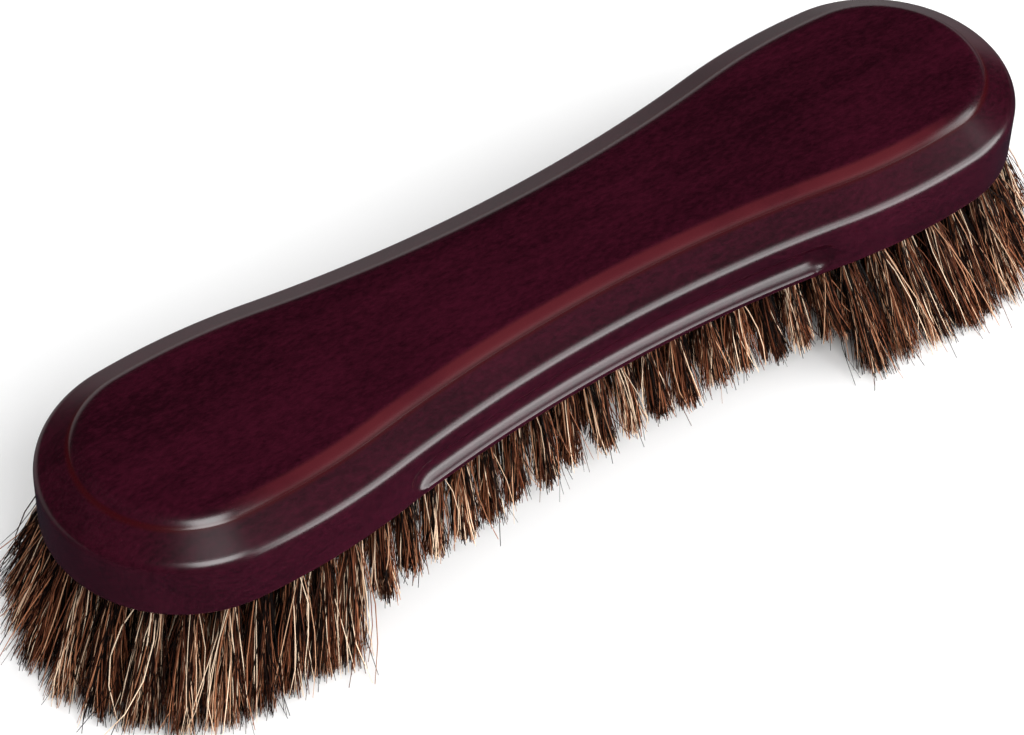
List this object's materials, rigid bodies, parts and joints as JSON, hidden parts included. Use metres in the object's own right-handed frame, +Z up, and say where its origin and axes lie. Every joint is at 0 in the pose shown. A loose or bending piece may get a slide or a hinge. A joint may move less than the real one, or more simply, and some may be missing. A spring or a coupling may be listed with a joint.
{
  "type": "clothes brush",
  "caption": "Hourglass hardwood brush with staple-set horsehair tufts, long at both ends and short at the waist, with a finger groove along each side.",
  "frame": {"origin": "middle of the plane that the tips of the long end tufts stand on", "axes": "+X along the brush towards the toe end, +Y to the left side, +Z up from the hair tips to the flat top"},
  "size_m": [0.2454, 0.0718, 0.0465],
  "materials": {
    "lacquered_wood": "dark mahogany stain under a satin-gloss lacquer",
    "horsehair": "mixed black, brown and blond horsehair, trimmed",
    "anchor_wire": "plain flat steel wire"
  },
  "bodies": {
    "root": {"brush_block": "lacquered_wood", "tufts_heel_outer_left": "horsehair", "tufts_heel_outer_right": "horsehair", "tufts_heel_second_left": "horsehair", "tufts_heel_second_right": "horsehair", "tufts_heel_core": "horsehair", "tufts_waist_outer_left": "horsehair", "tufts_waist_outer_right": "horsehair", "tufts_waist_second_left": "horsehair", "tufts_waist_second_right": "horsehair", "tufts_waist_core": "horsehair", "tufts_toe_outer_left": "horsehair", "tufts_toe_outer_right": "horsehair", "tufts_toe_second_left": "horsehair", "tufts_toe_second_right": "horsehair", "tufts_toe_core": "horsehair", "anchors_heel_outer_left": "anchor_wire", "anchors_heel_outer_right": "anchor_wire", "anchors_heel_second_left": "anchor_wire", "anchors_heel_second_right": "anchor_wire", "anchors_heel_core": "anchor_wire", "anchors_waist_outer_left": "anchor_wire", "anchors_waist_outer_right": "anchor_wire", "anchors_waist_second_left": "anchor_wire", "anchors_waist_second_right": "anchor_wire", "anchors_waist_core": "anchor_wire", "anchors_toe_outer_left": "anchor_wire", "anchors_toe_outer_right": "anchor_wire", "anchors_toe_second_left": "anchor_wire", "anchors_toe_second_right": "anchor_wire", "anchors_toe_core": "anchor_wire"}
  },
  "joints": []
}
